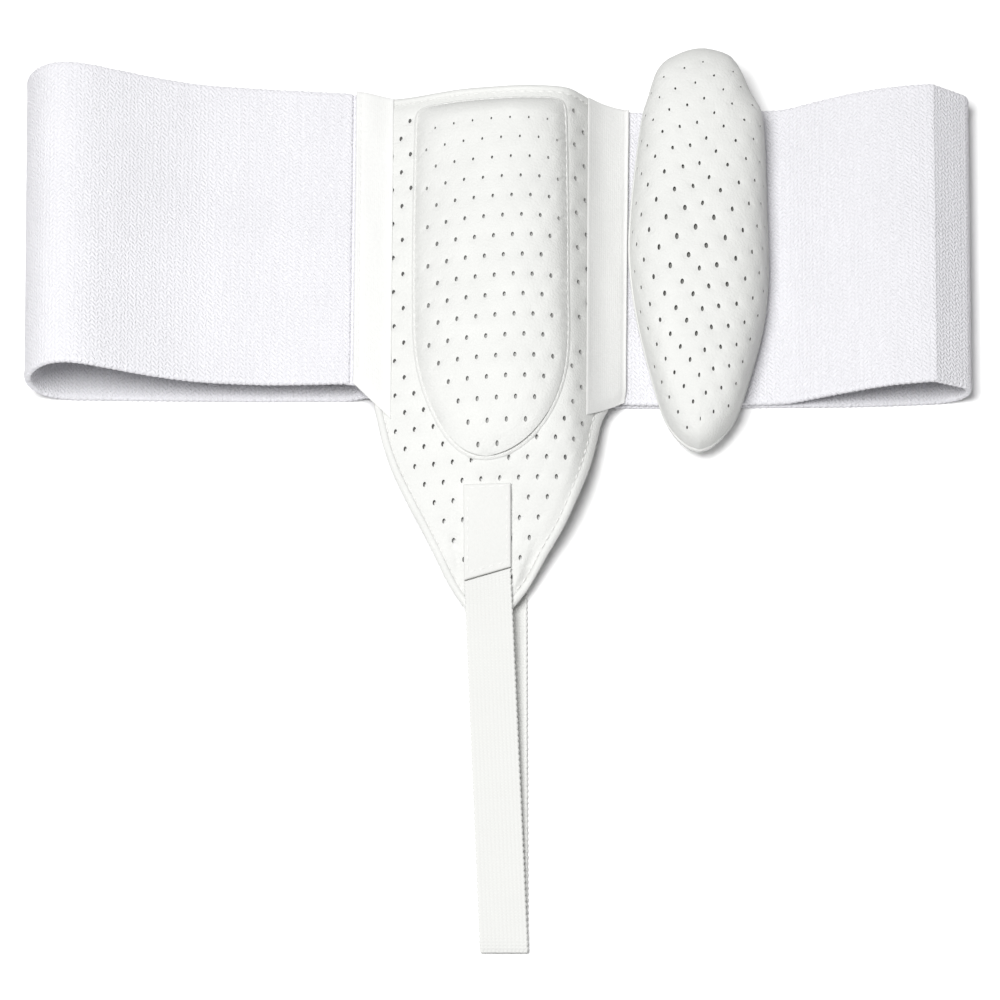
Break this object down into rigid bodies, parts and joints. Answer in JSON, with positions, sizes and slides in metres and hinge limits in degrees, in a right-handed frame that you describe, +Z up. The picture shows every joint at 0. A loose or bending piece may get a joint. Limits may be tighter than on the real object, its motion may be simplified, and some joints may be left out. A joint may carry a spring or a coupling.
{
  "type": "hernia support belt",
  "caption": "Wide elastic waist loop with a perforated foam front panel, a rounded filled pocket, a loose oval pad and a narrow groin strap, lying flat.",
  "frame": {"origin": "middle of the underside of the whole part, on the surface that it lies on", "axes": "+X along the flattened waist loop towards the loose pad, -Y from the belt to the groin strap's fold, +Z up, the way the pads face"},
  "size_m": [0.3286, 0.3234, 0.0345],
  "materials": {
    "elastic": "ribbed woven elastic, matte",
    "panel_cloth": "perforated foam laminate, matte",
    "band_cloth": "smooth knitted cloth, matte",
    "strap_webbing": "soft woven strap, matte",
    "hook_tape": "hook tape, matte"
  },
  "bodies": {
    "root": {"waist_elastic_left": "elastic", "waist_elastic_right": "elastic", "closure_hook_patch": "hook_tape", "front_panel": "panel_cloth", "side_band_left": "band_cloth", "side_band_right": "band_cloth", "pocket_pad": "panel_cloth", "loose_pad_front": "panel_cloth", "loose_pad_back": "band_cloth", "strap_patch": "strap_webbing", "groin_strap": "strap_webbing", "strap_hook_patch": "hook_tape"}
  },
  "joints": []
}
